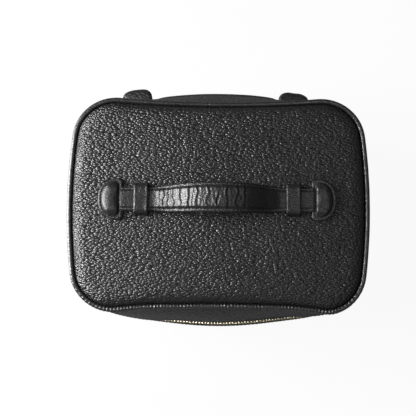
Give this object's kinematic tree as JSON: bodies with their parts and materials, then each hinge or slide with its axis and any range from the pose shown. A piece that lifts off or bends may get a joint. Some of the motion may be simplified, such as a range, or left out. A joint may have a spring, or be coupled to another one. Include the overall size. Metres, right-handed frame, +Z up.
{
  "type": "vanity case",
  "caption": "Upright black leather vanity case with a padded hinged lid, zip round the lid seam, and a sliding strap carrying handle on top; lined inside with pockets and a lid mirror.",
  "frame": {"origin": "middle of the underside of the base, on the surface the case stands on", "axes": "+Z up through the lid, -Y out of the front, +Y out of the hinged back, +X to the right seen from the front"},
  "size_m": [0.219, 0.1807, 0.1797],
  "materials": {
    "case_leather": "black pebbled leather",
    "piping": "black leather over cord",
    "handle_leather": "black smooth creased leather",
    "lining": "dark twill",
    "elastic": "ribbed elastic",
    "board": "raw fibreboard",
    "pad": "felted wadding",
    "tape": "woven zip tape",
    "teeth": "pale brass, polished",
    "slider_metal": "pale brass, polished",
    "mirror_rim": "smooth black leather",
    "mirror_glass": "silvered glass"
  },
  "bodies": {
    "case_body": {"base_leather": "case_leather", "base_board": "board", "base_piping": "piping", "base_lining": "lining", "front_wall_leather": "case_leather", "back_wall_leather": "case_leather", "wall_board": "board", "wall_lining": "lining", "rim_binding": "handle_leather", "pocket_front": "lining", "pocket_front_elastic": "elastic", "pocket_back": "lining", "pocket_back_elastic": "elastic", "zip_tape_lower": "tape", "zip_tape_tails": "tape", "zip_teeth_lower": "teeth", "zip_teeth_tails": "teeth", "hinge_lower_leaf": "case_leather", "zip_end_tab_left": "case_leather", "zip_end_tab_right": "case_leather"},
    "lid": {"lid_wall_leather": "case_leather", "lid_wall_board": "board", "lid_wall_lining": "lining", "lid_rim_binding": "handle_leather", "lid_top_leather": "case_leather", "lid_top_pad": "pad", "lid_top_board": "board", "lid_top_lining": "lining", "lid_piping": "piping", "mirror_frame": "mirror_rim", "mirror_glass": "mirror_glass", "zip_tape_upper": "tape", "zip_teeth_upper": "teeth", "hinge_upper_leaf": "case_leather", "keeper_left": "case_leather", "keeper_right": "case_leather"},
    "handle": {"handle_grip": "handle_leather", "handle_strap_left": "handle_leather", "handle_strap_right": "handle_leather"},
    "handle_end_left": {"handle_end_left": "handle_leather"},
    "handle_end_right": {"handle_end_right": "handle_leather"},
    "slider": {"zip_slider": "slider_metal"},
    "pull": {"zip_pull": "slider_metal"}
  },
  "joints": [
    {"name": "lid_hinge", "type": "hinge", "parent": "case_body", "child": "lid", "pos_m": [0, 0.089, 0.116], "axis": [-1, 0, 0], "range_deg": [0, 105]},
    {"name": "handle_lift", "type": "slide", "parent": "lid", "child": "handle", "axis": [0, 0, 1], "range_m": [0, 0.011], "deforming": ["handle_strap_left", "handle_strap_right"]},
    {"name": "handle_end_left_slide", "type": "slide", "parent": "handle", "child": "handle_end_left", "axis": [0.5784, 0, -0.8157], "range_m": [0, 0.0135]},
    {"name": "handle_end_right_slide", "type": "slide", "parent": "handle", "child": "handle_end_right", "axis": [-0.5784, 0, -0.8157], "range_m": [0, 0.0135]},
    {"name": "zip_slider_travel", "type": "hinge", "parent": "case_body", "child": "slider", "pos_m": [-0.07493, 0.04576, 0.116], "axis": [0, 0, 1], "range_deg": [0, 66]},
    {"name": "zip_pull_swing", "type": "hinge", "parent": "slider", "child": "pull", "pos_m": [-0.08415, 0.07636, 0.1146], "axis": [0.9575, 0.2883, 0], "range_deg": [0, 100]}
  ],
  "couplings": [
    {"joint": "handle_end_left_slide", "follows": "handle_lift", "ratio": 1.2259},
    {"joint": "handle_end_right_slide", "follows": "handle_lift", "ratio": 1.2259}
  ]
}
